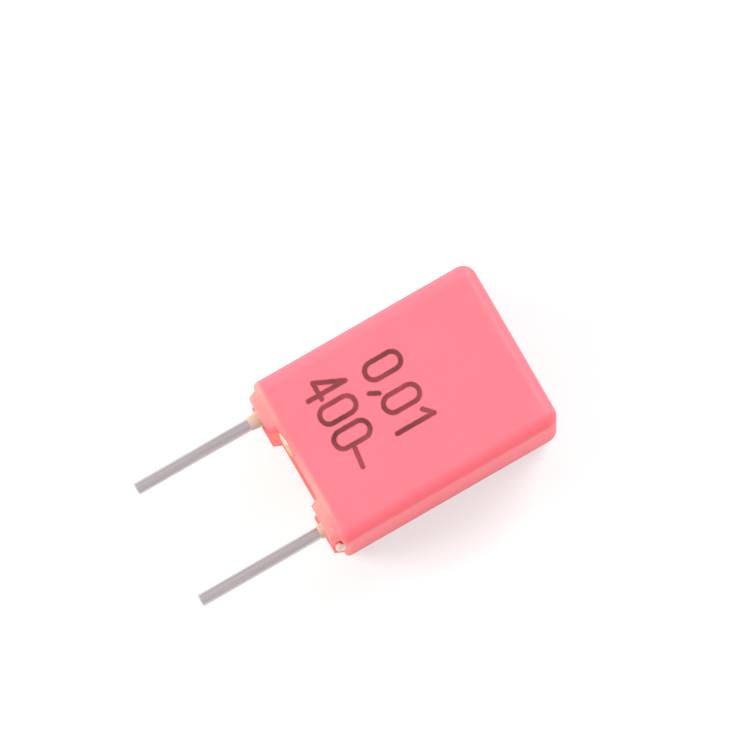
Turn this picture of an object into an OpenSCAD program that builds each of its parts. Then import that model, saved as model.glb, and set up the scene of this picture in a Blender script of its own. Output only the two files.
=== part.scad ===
// Box film capacitor with two straight radial leads, lying on its broad face.
// The origin is the middle of the face it lies on. +X points from the feet to the closed
// end of the case, so the leads point along -X. +Z points out of the upper broad face.

/* [Case] */
// Height of the case, from the tips of the feet to the closed end (X)
case_h = 10; // [9:0.1:12]
// Width of the broad faces, across the leads (Y)
case_w = 7.2; // [7:0.1:9]
// Thickness between the two broad faces (Z)
case_t = 6.5; // [6:0.1:8]
// Wall thickness of the moulded case
wall = 0.7; // [0.6:0.05:0.8]
// Radius of the long edges and of the edges and corners of the closed end
edge_r = 0.55; // [0.45:0.05:0.7]
// Radius that breaks the outer edge of the open mouth
lip_r = 0.2; // [0.1:0.05:0.25]
// Radius of the long inside corners of the hollow
hollow_r = 1; // [0.8:0.1:1.2]

/* [Feet] */
// Height that the four feet stand above the mouth
foot_h = 0.35; // [0.25:0.05:0.5]
// Length of a foot's root along the width of the case (Y)
foot_w = 1.9; // [1.4:0.05:2]
// Length of a foot's root along the thickness of the case (Z)
foot_t = 1.9; // [1.4:0.05:2]
// Distance from a case side to a foot's root
foot_inset = 0.24; // [0.22:0.01:0.3]
// How far a foot's flanks lean in between root and tip
foot_lean = 0.15; // [0.1:0.01:0.2]

/* [Leads] */
// Distance between the two lead centres
lead_pitch = 5; // [4.8:0.1:5.2]
// Diameter of the round wire
lead_d = 0.5; // [0.45:0.05:0.55]
// Length of the wire beyond the tips of the feet
lead_free = 5.5; // [4:0.1:10]
// Depth of the lead centres below the upper broad face
lead_depth = 2.5; // [2.4:0.1:3.2]
// Chamfer on the cut end of the wire
cut_chamfer = 0.05; // [0.03:0.01:0.08]
// Width of the flat that the wire is coined to where it is welded
tab_w = 0.62; // [0.55:0.01:0.7]
// Thickness of that flat
tab_t = 0.32; // [0.28:0.01:0.36]

/* [Casting resin] */
// Depth of the resin below the mouth, at the middle of its hollowed surface
resin_drop = 0.3; // [0.2:0.05:0.4]
// How much higher the resin stands at the walls than in the middle
resin_dish = 0.15; // [0.1:0.01:0.18]
// Radius of the curve where the resin climbs a lead
climb_r = 0.45; // [0.3:0.05:0.5]
// Height that the resin reaches on the back lead, beyond the tips of the feet
climb_back = 0.45; // [0.3:0.05:0.5]
// Height that the resin reaches on the front lead, beyond the tips of the feet
climb_front = 0.2; // [0.1:0.05:0.3]

/* [Winding] */
// Thickness of the pressed film roll (Z)
roll_t = 3.3; // [3:0.1:3.4]
// Width of the pressed film roll, round ends included (X)
roll_w = 7.5; // [7:0.1:7.6]
// Length of the film roll between its metal-sprayed ends (Y)
roll_len = 4.1; // [4:0.1:4.2]
// Thickness of the sprayed metal on each end of the roll
spray_t = 0.3; // [0.2:0.05:0.35]
// Resin between the roll and the closed end of the case
roll_gap = 0.4; // [0.3:0.05:0.6]

/* [Hidden] */
$fn = 64;

end_x = case_h / 2;                        // closed end of the case
foot_x = -case_h / 2;                      // tips of the feet, the seating plane
mouth_x = foot_x + foot_h;                 // plane of the open mouth
half_w = case_w / 2;
hollow_end_x = end_x - wall;               // floor of the hollow
corner_y = half_w - edge_r;                // axes of the long rounded edges
corner_z = [edge_r, case_t - edge_r];
lead_z = case_t - lead_depth;
lead_r = lead_d / 2;
tip_x = foot_x - lead_free;                // cut ends of the leads
resin_x = mouth_x + resin_drop;            // middle of the resin's surface
skirt_r = lead_r + 0.1;                    // throat of the curved skirt of resin round a lead
film_r = lead_r + 0.02;                    // thin skin of resin where a climb runs out
round_end_x = foot_x - climb_back + 0.1;   // the drawn wire starts to neck inside the resin
neck_end_x = resin_x + 0.95;               // and meets the welded flat here
neck_r = 0.8 * lead_r;
bury = 0.2;                                // overlap between pieces of one solid
roll_x1 = hollow_end_x - roll_gap;
roll_x0 = roll_x1 - roll_w;
spray_y = roll_len / 2;                    // where the sprayed metal starts
tab_y = lead_pitch / 2 - lead_r;           // face of the flat that lies in the sprayed metal
tab_end_x = roll_x1 - roll_t / 2;
case_color = [1, 0.42, 0.46];
resin_color = [0.80, 0.66, 0.50];
film_color = [0.86, 0.86, 0.80];
spray_color = [0.62, 0.62, 0.60];
tin_color = [0.76, 0.74, 0.75];

// Cylinder along X between x0 and x1
module rod_x(x0, x1, y, z, r1, r2) {
    translate([x0, y, z])
        rotate([0, 90, 0])
            cylinder(h = x1 - x0, r1 = r1, r2 = r2);
}

// Bar along X with a round-cornered section, centred on Y
module bar_x(x0, x1, w, z0, z1, r) {
    translate([x0, -w / 2 + r, z0])
        cube([x1 - x0, w - 2 * r, z1 - z0]);
    translate([x0, -w / 2, z0 + r])
        cube([x1 - x0, w, z1 - z0 - 2 * r]);
    for (y = [-w / 2 + r, w / 2 - r], z = [z0 + r, z1 - r])
        rod_x(x0, x1, y, z, r, r);
}

// The closed end: one flat face, rounded into the sides by edges and ball corners
module closed_end() {
    x = end_x - edge_r;
    translate([x, -corner_y, edge_r])
        cube([edge_r, 2 * corner_y, case_t - 2 * edge_r]);
    for (z = corner_z)
        translate([x, -corner_y, z])
            rotate([-90, 0, 0])
                cylinder(h = 2 * corner_y, r = edge_r);
    for (y = [-corner_y, corner_y])
        translate([x, y, edge_r])
            cylinder(h = case_t - 2 * edge_r, r = edge_r);
    for (y = [-corner_y, corner_y], z = corner_z)
        translate([x, y, z])
            sphere(r = edge_r);
}

// The last stretch of the walls before the mouth, with its outer edge broken by lip_r
module mouth_lip() {
    x = mouth_x + lip_r;
    bar_x(mouth_x, x, case_w - 2 * lip_r, lip_r, case_t - lip_r, edge_r - lip_r);
    for (z = [lip_r, case_t - lip_r])
        translate([x, -corner_y, z])
            rotate([-90, 0, 0])
                cylinder(h = 2 * corner_y, r = lip_r);
    for (y = [-half_w + lip_r, half_w - lip_r])
        translate([x, y, edge_r])
            cylinder(h = case_t - 2 * edge_r, r = lip_r);
    for (y = [-corner_y, corner_y], z = corner_z)
        translate([x, y, z])
            rotate([0, 90, 0])
                rotate_extrude()
                    translate([edge_r - lip_r, 0])
                        circle(r = lip_r);
}

// One foot, before the hollow is cut: a pad whose flanks lean in towards its tip
module foot_pad() {
    root_r = edge_r - foot_inset;
    tip_r = root_r - foot_lean;
    y0 = foot_inset + root_r;
    y1 = foot_inset + foot_w - root_r;
    z1 = foot_inset + foot_t - root_r;
    sunk = foot_h + lip_r;
    // leaning flanks along Y
    translate([0, y1, 0])
        rotate([90, 0, 0])
            linear_extrude(y1 - y0)
                pad_profile(y0, z1, root_r, tip_r);
    // leaning flanks along Z
    translate([0, 0, y0])
        mirror([0, 1, -1])
            translate([0, z1 - y0, 0])
                rotate([90, 0, 0])
                    linear_extrude(z1 - y0)
                        pad_profile(y0, y1, root_r, tip_r);
    for (y = [y0, y1], z = [y0, z1]) {
        rod_x(0, foot_h, y, z, tip_r, root_r);
        rod_x(foot_h, sunk, y, z, root_r, root_r);
    }
}

// Section of a foot between two of its corner axes, a and b, from its tip at 0
module pad_profile(a, b, root_r, tip_r) {
    polygon([
        [0, a - tip_r],
        [0, b + tip_r],
        [foot_h, b + root_r],
        [foot_h + lip_r, b + root_r],
        [foot_h + lip_r, a - root_r],
        [foot_h, a - root_r]
    ]);
}

module feet() {
    for (flip_y = [0, 1], flip_z = [0, 1])
        translate([foot_x, flip_y ? half_w : -half_w, flip_z ? case_t : 0])
            mirror([0, flip_y, 0])
                mirror([0, 0, flip_z])
                    foot_pad();
}

// The hollow of the case, running on out of its mouth past out_x
module hollow(out_x) {
    bar_x(out_x, hollow_end_x, case_w - 2 * wall, wall, case_t - wall, hollow_r);
}

module case() {
    color(case_color)
        difference() {
            union() {
                bar_x(mouth_x + lip_r, end_x - edge_r, case_w, 0, case_t, edge_r);
                closed_end();
                mouth_lip();
                feet();
            }
            hollow(foot_x - 1);
        }
}

// Resin that has climbed a lead: a curved skirt and a thin cone, standing on the surface
module climb(y, reach) {
    top = resin_x - foot_x + reach;
    translate([resin_x, y, lead_z])
        rotate([0, -90, 0])
            rotate_extrude() {
                difference() {
                    translate([0, -bury])
                        square([skirt_r + climb_r, climb_r + bury]);
                    translate([skirt_r + climb_r, climb_r])
                        circle(r = climb_r);
                }
                polygon([
                    [0, 0],
                    [skirt_r, 0],
                    [skirt_r, climb_r],
                    [film_r, top],
                    [0, top]
                ]);
            }
}

module potting() {
    dish_r = (pow(half_w - wall, 2) + pow(case_t / 2 - wall, 2)) / (2 * resin_dish);
    color(resin_color)
        difference() {
            intersection() {
                hollow(foot_x - 1);
                union() {
                    difference() {
                        translate([mouth_x, -half_w, 0])
                            cube([case_h, case_w, case_t]);
                        translate([resin_x - dish_r, 0, case_t / 2])
                            sphere(r = dish_r, $fn = 360);
                    }
                    climb(lead_pitch / 2, climb_back);
                    climb(-lead_pitch / 2, climb_front);
                }
            }
            roll(-spray_y - spray_t, spray_y + spray_t);
            wire(1);
            wire(-1);
        }
}

// A stretch of the pressed roll's outline, from y0 to y1
module roll(y0, y1) {
    r = roll_t / 2;
    translate([roll_x0 + r, y0, lead_z - r])
        cube([roll_w - roll_t, y1 - y0, roll_t]);
    for (x = [roll_x0 + r, roll_x1 - r])
        translate([x, y0, lead_z])
            rotate([-90, 0, 0])
                cylinder(h = y1 - y0, r = r);
}

module winding() {
    color(film_color)
        roll(-spray_y, spray_y);
}

// Sprayed metal on one end of the roll; side is -1 for the front and 1 for the back
module end_contact(side) {
    color(spray_color)
        difference() {
            if (side > 0)
                roll(spray_y, spray_y + spray_t);
            else
                roll(-spray_y - spray_t, -spray_y);
            wire(side);
        }
}

// One lead: round wire with a chamfered cut end, necking in the resin to a welded flat
module wire(side) {
    y = side * lead_pitch / 2;
    rod_x(tip_x, tip_x + cut_chamfer, y, lead_z, lead_r - cut_chamfer, lead_r);
    rod_x(tip_x + cut_chamfer, round_end_x, y, lead_z, lead_r, lead_r);
    rod_x(round_end_x, neck_end_x, y, lead_z, lead_r, neck_r);
    translate([neck_end_x - bury, side * (tab_y + tab_t / 2) - tab_t / 2, lead_z - tab_w / 2])
        cube([tab_end_x - neck_end_x + bury, tab_t, tab_w]);
    translate([tab_end_x, side * (tab_y + tab_t / 2) - tab_t / 2, lead_z])
        rotate([-90, 0, 0])
            cylinder(h = tab_t, d = tab_w);
}

module lead(side) {
    color(tin_color)
        wire(side);
}

case();
potting();
winding();
end_contact(-1);  // end_contact_front
end_contact(1);  // end_contact_back
lead(-1);  // lead_front
lead(1);  // lead_back
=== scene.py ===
import math

import bmesh
import bpy
from mathutils import Matrix, Vector, noise


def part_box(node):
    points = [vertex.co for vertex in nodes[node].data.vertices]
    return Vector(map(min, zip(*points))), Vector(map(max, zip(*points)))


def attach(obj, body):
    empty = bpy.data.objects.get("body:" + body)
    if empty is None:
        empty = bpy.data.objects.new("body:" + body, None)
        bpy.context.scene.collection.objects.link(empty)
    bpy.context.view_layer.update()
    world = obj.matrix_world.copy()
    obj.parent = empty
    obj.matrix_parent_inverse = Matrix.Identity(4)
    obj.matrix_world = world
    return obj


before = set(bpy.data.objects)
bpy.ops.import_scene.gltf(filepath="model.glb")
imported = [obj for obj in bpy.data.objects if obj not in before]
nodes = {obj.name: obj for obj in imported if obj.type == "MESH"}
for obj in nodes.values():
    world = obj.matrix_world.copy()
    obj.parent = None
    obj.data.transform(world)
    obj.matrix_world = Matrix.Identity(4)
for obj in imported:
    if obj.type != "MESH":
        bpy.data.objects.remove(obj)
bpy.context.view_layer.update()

scene = bpy.context.scene
scene.view_settings.view_transform = "Standard"
MM = 0.001


# --- Camera -------------------------------------------------------------------------------
# A long lens looks down on the marked broad face, tilted a little towards the front side and
# the leads. The part is turned in the picture, so that the leads point down to the left.
case_low, case_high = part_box("case")
aim = Vector((-0.36 * MM, 1.50 * MM, case_high.z))
camera_distance = 395.9 * MM
lead_tilt = math.radians(2.04)
front_tilt = math.radians(5.41)
picture_turn = math.radians(29.85)

back = Vector((-math.sin(lead_tilt), -math.sin(front_tilt), 0))
back.z = math.sqrt(1 - back.length_squared)
level_right = (Vector((1, 0, 0)) - back * back.x).normalized()
level_up = back.cross(level_right)
right = level_right * math.cos(picture_turn) - level_up * math.sin(picture_turn)
up = back.cross(right)

camera_data = bpy.data.cameras.new("camera")
camera_data.sensor_width = 36
camera_data.lens = 493.4
camera_data.clip_start = 0.02
camera = bpy.data.objects.new("camera", camera_data)
scene.collection.objects.link(camera)
camera.matrix_world = (
    Matrix.Translation(aim + back * camera_distance)
    @ Matrix((right, up, back)).transposed().to_4x4()
)
scene.camera = camera


# --- Light and room -----------------------------------------------------------------------
# A white room lights the part evenly. Two soft boxes behind it, left and right, brighten the
# rounded edges that face them and leave the front edge a little darker.
room_level = 0.779
box_side = 300 * MM
box_distance = 600 * MM
box_radiance = 12.0


def add(tree, kind, inputs=None, **settings):
    """Adds a node with its settings. Each input is a plain value, or a socket to link."""
    made = tree.nodes.new(kind)
    for name, value in settings.items():
        setattr(made, name, value)
    for name, value in (inputs or {}).items():
        if isinstance(value, bpy.types.NodeSocket):
            tree.links.new(value, made.inputs[name])
        else:
            made.inputs[name].default_value = value
    return made


def seen_directly(tree):
    """1 for the camera's rays and for those that show in gloss and glass, 0 for the rest."""
    path = add(tree, "ShaderNodeLightPath")
    mirrored = add(
        tree, "ShaderNodeMath",
        {0: path.outputs["Is Glossy Ray"], 1: path.outputs["Is Transmission Ray"]},
        operation="MAXIMUM",
    )
    either = add(
        tree, "ShaderNodeMath",
        {0: path.outputs["Is Camera Ray"], 1: mirrored.outputs[0]},
        operation="MAXIMUM",
    )
    return either.outputs[0]


world = bpy.data.worlds.new("white_room")
scene.world = world
world.use_nodes = True
tree = world.node_tree
tree.nodes.clear()
level = add(
    tree, "ShaderNodeMapRange", {"Value": seen_directly(tree), "To Min": room_level, "To Max": 1}
)
room = add(tree, "ShaderNodeBackground", {"Strength": level.outputs[0]})
add(tree, "ShaderNodeOutputWorld", {"Surface": room.outputs[0]})

for name, toward in (
    ("soft_box_right", Vector((0.85, 0.35, 0.60))),
    ("soft_box_left", Vector((-0.75, 0.45, 0.65))),
):
    lamp = bpy.data.lights.new(name, "AREA")
    lamp.shape = "SQUARE"
    lamp.size = box_side
    lamp.energy = box_radiance * math.pi * box_side ** 2
    soft_box = bpy.data.objects.new(name, lamp)
    scene.collection.objects.link(soft_box)
    toward.normalize()
    soft_box.location = toward * box_distance
    soft_box.rotation_euler = toward.to_track_quat("Z", "Y").to_euler()


# --- Floor --------------------------------------------------------------------------------
# A sheet of matt white board. It shows nearly white and keeps a faint, soft shadow.
floor_side = 2000 * MM
floor_gap = 0.01 * MM
board_tooth = 0.8 * MM
board_glow = 0.55


def linear(code):
    """Linear RGBA of an sRGB hex colour."""
    levels = [int(code[i:i + 2], 16) / 255 for i in (1, 3, 5)]
    return [v / 12.92 if v <= 0.04045 else ((v + 0.055) / 1.055) ** 2.4 for v in levels] + [1]


def blank_material(name):
    """A new material with an empty node tree, and the tree."""
    material = bpy.data.materials.new(name)
    material.use_nodes = True
    material.node_tree.nodes.clear()
    return material, material.node_tree


floor_mesh = bpy.data.meshes.new("floor")
half = floor_side / 2
drop = case_low.z - floor_gap
floor_mesh.from_pydata(
    [(-half, -half, drop), (half, -half, drop), (half, half, drop), (-half, half, drop)],
    [], [(0, 1, 2, 3)],
)
floor = bpy.data.objects.new("floor", floor_mesh)
scene.collection.objects.link(floor)

# Matt white board: a very fine paper tooth, and no gloss at all. The pattern is laid from 0 to 1
# over the side of the floor.
board, tree = blank_material("matt_white_board")
tooth = add(tree, "ShaderNodeTexNoise", {"Scale": floor_side / board_tooth, "Detail": 3})
shade = add(
    tree, "ShaderNodeMix",
    {"Factor": tooth.outputs[0], 6: linear("#F7F7F6"), 7: linear("#FBFBFA")},
    data_type="RGBA",
)
matt = add(tree, "ShaderNodeBsdfDiffuse", {"Color": shade.outputs[2]})
glow = add(tree, "ShaderNodeEmission", {"Color": (1, 1, 1, 1), "Strength": 1})
share = add(
    tree, "ShaderNodeMath", {0: seen_directly(tree), 1: board_glow}, operation="MULTIPLY"
)
mixed = add(
    tree, "ShaderNodeMixShader", {0: share.outputs[0], 1: matt.outputs[0], 2: glow.outputs[0]}
)
add(tree, "ShaderNodeOutputMaterial", {"Surface": mixed.outputs[0]})
floor_mesh.materials.append(board)


# --- Case ---------------------------------------------------------------------------------
# One moulding of flame-retardant polyester, coral red right through. The winding goes into it
# from the feet end. Plain numbers are printed on the upper broad face and on the back side.
coral = "#FA6470"
coral_pale = "#FB6A76"
# Pale tan painted on the mouth edge: a painted highlight of the rounded lip, with a resin tint.
lip_highlight_resin_tint = "#F2A08E"
ink_colour = "#2E0C12"
stroke_width = 0.21
numeral_height = 1.85
numeral_width = 0.92
side_stroke_width = 0.34
ragged_edge = 0.05
ink_fade = (0.035, 0.045)
foot_height = 0.35
# Where that painted lip highlight fades out, in mm in from the mouth.
lip_highlight_fade = (0.12, 0.34)
clouds_per_mm = 0.45
grain_per_mm = 14
wander_per_mm = 6


def millimetres(tree):
    """The place on the object, in millimetres."""
    place = add(tree, "ShaderNodeTexCoord")
    return add(
        tree, "ShaderNodeVectorMath", {0: place.outputs["Object"], "Scale": 1 / MM},
        operation="SCALE",
    ).outputs[0]


def stroke_distance(tree, place, start, end, radius):
    """Distance from place to a pen stroke from start to end, or to the ring drawn round it."""
    span = end - start
    offset = add(tree, "ShaderNodeVectorMath", {0: place, 1: start}, operation="SUBTRACT")
    share = add(
        tree, "ShaderNodeVectorMath", {0: offset.outputs[0], 1: span / span.length_squared},
        operation="DOT_PRODUCT",
    )
    inside = add(tree, "ShaderNodeClamp", {"Value": share.outputs["Value"]})
    nearest = add(
        tree, "ShaderNodeVectorMath", {0: span, "Scale": inside.outputs[0]}, operation="SCALE"
    )
    gap = add(
        tree, "ShaderNodeVectorMath", {0: offset.outputs[0], 1: nearest.outputs[0]},
        operation="DISTANCE",
    ).outputs["Value"]
    if radius == 0:
        return gap
    past = add(tree, "ShaderNodeMath", {0: gap, 1: radius}, operation="SUBTRACT")
    return add(tree, "ShaderNodeMath", {0: past.outputs[0]}, operation="ABSOLUTE").outputs[0]


# Strokes of each sign in a cell one wide and one tall: start, end, and ring radius.
SIGNS = {
    "0": [((0.5, 0.26), (0.5, 0.74), 0.5)],
    "1": [((0.70, 0.0), (0.70, 1.0), 0), ((0.70, 1.0), (0.22, 0.80), 0)],
    "4": [
        ((0.74, 0.0), (0.74, 1.0), 0),
        ((0.74, 1.0), (0.0, 0.30), 0),
        ((0.0, 0.30), (1.0, 0.30), 0),
    ],
    ",": [((0.35, 0.10), (0.10, -0.10), 0)],
    "-": [((0.0, 0.40), (1.1, 0.34), 0)],
}


def printed(tree, place, text, start, along, rise, advance, width, height):
    """Distance to the strokes of a row of signs that starts at start and reads along."""
    nearest = None
    for sign, step in zip(text, advance):
        for a, b, ring in SIGNS[sign]:
            ends = [start + along * (step + width * p[0]) + rise * (height * p[1]) for p in (a, b)]
            gap = stroke_distance(tree, place, *ends, ring * width)
            if nearest is not None:
                gap = add(
                    tree, "ShaderNodeMath", {0: nearest, 1: gap}, operation="MINIMUM"
                ).outputs[0]
            nearest = gap
    return nearest


# Moulded polyester: an even coral red with slow, faint clouds and a soft sheen. The dark print
# has slightly ragged edges and is a little thinner in places.
polyester, tree = blank_material("moulded_polyester")
place = millimetres(tree)
clouds = add(tree, "ShaderNodeTexNoise", {"Vector": place, "Scale": clouds_per_mm, "Detail": 4})
grain = add(tree, "ShaderNodeTexNoise", {"Vector": place, "Scale": grain_per_mm, "Detail": 2})
body = add(
    tree, "ShaderNodeMix",
    {"Factor": clouds.outputs[0], 6: linear(coral), 7: linear(coral_pale)},
    data_type="RGBA",
)

# Paler tan patches along the mouth edge: painted highlight of the lip, tinted by smeared resin.
axes = add(tree, "ShaderNodeSeparateXYZ", {0: place})
mouth_x = case_low.x / MM + foot_height
rim = add(
    tree, "ShaderNodeMapRange",
    {
        "Value": axes.outputs["X"], "From Min": mouth_x + lip_highlight_fade[0],
        "From Max": mouth_x + lip_highlight_fade[1], "To Min": 0.5, "To Max": 0,
    },
    interpolation_type="SMOOTHSTEP",
)
patches = add(
    tree, "ShaderNodeMapRange", {"Value": clouds.outputs[0], "From Min": 0.35, "From Max": 0.6}
)
lip_highlight_cover = add(
    tree, "ShaderNodeMath", {0: rim.outputs[0], 1: patches.outputs[0]}, operation="MULTIPLY"
)
body = add(
    tree, "ShaderNodeMix",
    {"Factor": lip_highlight_cover.outputs[0], 6: body.outputs[2], 7: linear(lip_highlight_resin_tint)},
    data_type="RGBA",
)

pen = stroke_width / 2
top = case_high.z / MM
cell_w = numeral_width - stroke_width
cell_h = numeral_height - stroke_width
across = Vector((0, -1, 0))
lengthwise = Vector((1, 0, 0))
first_row = printed(
    tree, place, "0,01", Vector((-0.85 + pen, 2.02, top)), across, lengthwise,
    (0, 0.96, 1.46, 2.42), cell_w, cell_h,
)
second_row = printed(
    tree, place, "400-", Vector((-3.20 + pen, 2.42, top)), across, lengthwise,
    (0, 1.02, 2.12, 2.98), cell_w, cell_h,
)
marks = add(tree, "ShaderNodeMath", {0: first_row, 1: second_row}, operation="MINIMUM")
# The number on the side is printed with a wider pen, so the difference comes off its distance.
side_row = printed(
    tree, place, "40", Vector((0.45, case_high.y / MM, 2.37)), Vector((-1, 0, 0)),
    Vector((0, 0, 1)), (0, 1.25), 0.85, 1.76,
)
side_marks = add(
    tree, "ShaderNodeMath", {0: side_row, 1: side_stroke_width / 2 - pen}, operation="SUBTRACT"
)
marks = add(
    tree, "ShaderNodeMath", {0: marks.outputs[0], 1: side_marks.outputs[0]}, operation="MINIMUM"
)
wander = add(
    tree, "ShaderNodeTexNoise", {"Vector": place, "Scale": wander_per_mm, "Detail": 3}
)
shift = add(
    tree, "ShaderNodeMath", {0: wander.outputs[0], 1: ragged_edge, 2: -ragged_edge / 2},
    operation="MULTIPLY_ADD",
)
ragged = add(
    tree, "ShaderNodeMath", {0: marks.outputs[0], 1: shift.outputs[0]}, operation="ADD"
)
edge = add(
    tree, "ShaderNodeMapRange",
    {
        "Value": ragged.outputs[0], "From Min": pen - ink_fade[0], "From Max": pen + ink_fade[1],
        "To Min": 1, "To Max": 0,
    },
    interpolation_type="SMOOTHSTEP",
)
density = add(
    tree, "ShaderNodeMapRange",
    {"Value": clouds.outputs[0], "From Min": 0.35, "From Max": 0.6, "To Min": 0.96, "To Max": 0.78},
)
ink = add(
    tree, "ShaderNodeMath", {0: edge.outputs[0], 1: density.outputs[0]}, operation="MULTIPLY"
)
colour = add(
    tree, "ShaderNodeMix",
    {"Factor": ink.outputs[0], 6: body.outputs[2], 7: linear(ink_colour)},
    data_type="RGBA",
)
sheen = add(
    tree, "ShaderNodeMapRange", {"Value": grain.outputs[0], "To Min": 0.46, "To Max": 0.60}
)
relief = add(
    tree, "ShaderNodeBump", {"Strength": 0.25, "Distance": 0.004 * MM, "Height": grain.outputs[0]}
)
surface = add(
    tree, "ShaderNodeBsdfPrincipled",
    {
        "Base Color": colour.outputs[2],
        "Roughness": sheen.outputs[0],
        "IOR": 1.55,
        "Specular IOR Level": 0.38,
        "Normal": relief.outputs[0],
    },
)
add(tree, "ShaderNodeOutputMaterial", {"Surface": surface.outputs[0]})
nodes["case"].data.materials.clear()
nodes["case"].data.materials.append(polyester)


# --- Casting resin ------------------------------------------------------------------------
# Tan epoxy poured in round the winding, which sets with a glossy, slightly hollow skin and
# climbs each lead.
resin_tan = "#D3AC8C"
resin_brown = "#C09272"
resin_thin = "#CDBBAF"

# Cast epoxy: cloudy tan with a wet gloss, and a few shallow pinholes.
epoxy, tree = blank_material("cast_epoxy")
place = millimetres(tree)
clouds = add(tree, "ShaderNodeTexNoise", {"Vector": place, "Scale": 1.1, "Detail": 5})
colour = add(
    tree, "ShaderNodeMix",
    {"Factor": clouds.outputs[0], 6: linear(resin_tan), 7: linear(resin_brown)},
    data_type="RGBA",
)
# Past the tips of the feet only a thin film is left on the wire, and the tin shows through.
axes = add(tree, "ShaderNodeSeparateXYZ", {0: place})
film_share = add(
    tree, "ShaderNodeMapRange",
    {
        "Value": axes.outputs["X"], "From Min": case_low.x / MM - 0.35,
        "From Max": case_low.x / MM + 0.1, "To Min": 0.85, "To Max": 0,
    },
)
colour = add(
    tree, "ShaderNodeMix",
    {"Factor": film_share.outputs[0], 6: colour.outputs[2], 7: linear(resin_thin)},
    data_type="RGBA",
)
pinholes = add(tree, "ShaderNodeTexVoronoi", {"Vector": place, "Scale": 2.2})
pits = add(
    tree, "ShaderNodeMapRange",
    {"Value": pinholes.outputs["Distance"], "From Min": 0.05, "From Max": 0.12},
    interpolation_type="SMOOTHSTEP",
)
skin = add(
    tree, "ShaderNodeMath", {0: clouds.outputs[0], 1: pits.outputs[0]}, operation="ADD"
)
relief = add(
    tree, "ShaderNodeBump", {"Strength": 0.3, "Distance": 0.02 * MM, "Height": skin.outputs[0]}
)
surface = add(
    tree, "ShaderNodeBsdfPrincipled",
    {
        "Base Color": colour.outputs[2],
        "Roughness": 0.22,
        "IOR": 1.55,
        "Normal": relief.outputs[0],
    },
)
add(tree, "ShaderNodeOutputMaterial", {"Surface": surface.outputs[0]})
nodes["potting"].data.materials.clear()
nodes["potting"].data.materials.append(epoxy)


# --- Resin runs ---------------------------------------------------------------------------
# Drops of the same epoxy that ran over the rim while the case was filled, and set there: one
# down the front side by the feet, and a thin one on the edge of the upper broad face.
unevenness = 0.22
lumps_per_radius = 1.6


def resin_run(name, middle, radii):
    """A drop of set resin with an uneven skin, half sunk in the rim that it clings to."""
    mesh = bpy.data.meshes.new(name)
    drop_shape = bmesh.new()
    bmesh.ops.create_icosphere(drop_shape, subdivisions=4, radius=1)
    for vertex in drop_shape.verts:
        lump = noise.noise(vertex.co * lumps_per_radius + Vector(middle))
        shrink = 1 - unevenness * abs(lump)
        vertex.co = Vector([c * r * shrink * MM for c, r in zip(vertex.co, radii)])
    for face in drop_shape.faces:
        face.smooth = True
    drop_shape.to_mesh(mesh)
    drop_shape.free()
    mesh.materials.append(epoxy)
    piece = bpy.data.objects.new(name, mesh)
    scene.collection.objects.link(piece)
    piece.location = Vector(middle) * MM
    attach(piece, "root")


resin_run(
    "resin_run_front",
    middle=(mouth_x - 0.06, case_low.y / MM + 0.18, 4.5), radii=(0.26, 0.17, 1.35),
)
resin_run(
    "resin_run_edge", middle=(mouth_x, 0.85, case_high.z / MM - 0.17), radii=(0.10, 0.60, 0.15)
)


# --- Winding and its sprayed ends ---------------------------------------------------------
# Metallised polyester film wound flat and pressed, with molten zinc sprayed on both ends to
# join its turns. All of it is sealed in the resin.
# Metallised film: pale grey bands with a slight gloss.
film, tree = blank_material("metallised_film")
place = millimetres(tree)
turns = add(tree, "ShaderNodeTexWave", {"Vector": place, "Scale": 3}, bands_direction="Z")
colour = add(
    tree, "ShaderNodeMix",
    {"Factor": turns.outputs[1], 6: linear("#B9B7A8"), 7: linear("#DAD9D0")},
    data_type="RGBA",
)
surface = add(
    tree, "ShaderNodeBsdfPrincipled", {"Base Color": colour.outputs[2], "Roughness": 0.35}
)
add(tree, "ShaderNodeOutputMaterial", {"Surface": surface.outputs[0]})
nodes["winding"].data.materials.clear()
nodes["winding"].data.materials.append(film)

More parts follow.
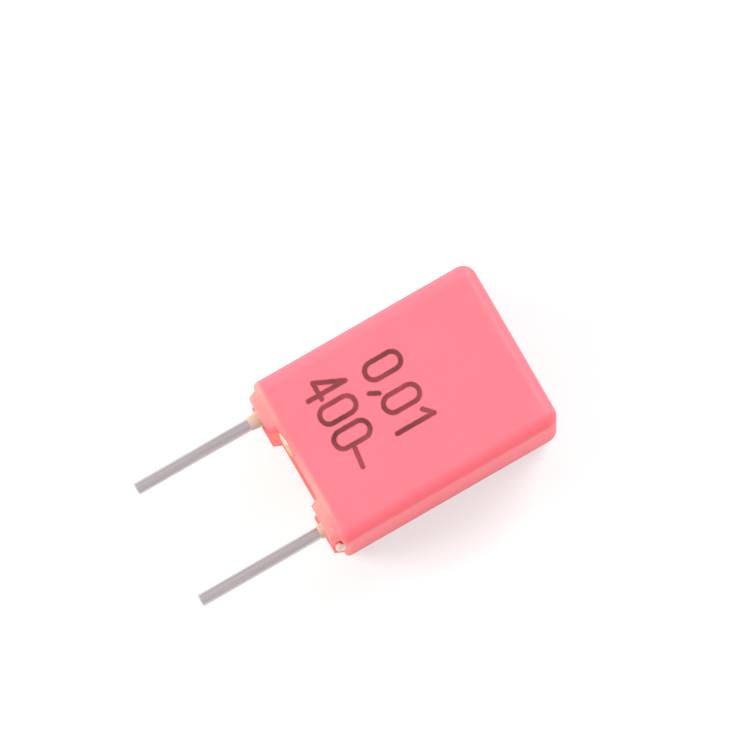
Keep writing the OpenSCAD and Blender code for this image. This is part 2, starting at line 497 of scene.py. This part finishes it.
# Sprayed zinc: dull grey metal, gritty from the droplets.
zinc, tree = blank_material("sprayed_zinc")
place = millimetres(tree)
grit = add(tree, "ShaderNodeTexNoise", {"Vector": place, "Scale": 12, "Detail": 4})
colour = add(
    tree, "ShaderNodeMix",
    {"Factor": grit.outputs[0], 6: linear("#7E7D7A"), 7: linear("#A8A7A3")},
    data_type="RGBA",
)
relief = add(
    tree, "ShaderNodeBump", {"Strength": 0.8, "Distance": 0.03 * MM, "Height": grit.outputs[0]}
)
surface = add(
    tree, "ShaderNodeBsdfPrincipled",
    {
        "Base Color": colour.outputs[2],
        "Metallic": 1,
        "Roughness": 0.6,
        "Normal": relief.outputs[0],
    },
)
add(tree, "ShaderNodeOutputMaterial", {"Surface": surface.outputs[0]})
for name in ("end_contact_front", "end_contact_back"):
    nodes[name].data.materials.clear()
    nodes[name].data.materials.append(zinc)


# --- Leads --------------------------------------------------------------------------------
# Two straight round copper wires, drawn and then tinned, welded to the sprayed ends and cut
# off square.
tin_pale = "#DCD3D5"
tin_dull = "#B2A6A9"

# Tinned copper wire: silver grey, with fine lines along it from the drawing die.
tinned, tree = blank_material("tinned_copper_wire")
place = millimetres(tree)
stretched = add(
    tree, "ShaderNodeVectorMath", {0: place, 1: (0.35, 9, 9)}, operation="MULTIPLY"
)
die_lines = add(
    tree, "ShaderNodeTexNoise", {"Vector": stretched.outputs[0], "Scale": 1, "Detail": 3}
)
colour = add(
    tree, "ShaderNodeMix",
    {"Factor": die_lines.outputs[0], 6: linear(tin_pale), 7: linear(tin_dull)},
    data_type="RGBA",
)
sheen = add(
    tree, "ShaderNodeMapRange", {"Value": die_lines.outputs[0], "To Min": 0.18, "To Max": 0.38}
)
relief = add(
    tree, "ShaderNodeBump",
    {"Strength": 0.3, "Distance": 0.006 * MM, "Height": die_lines.outputs[0]},
)
surface = add(
    tree, "ShaderNodeBsdfPrincipled",
    {
        "Base Color": colour.outputs[2],
        "Metallic": 1,
        "Roughness": sheen.outputs[0],
        "Normal": relief.outputs[0],
    },
)
add(tree, "ShaderNodeOutputMaterial", {"Surface": surface.outputs[0]})
for name in ("lead_front", "lead_back"):
    nodes[name].data.materials.clear()
    nodes[name].data.materials.append(tinned)
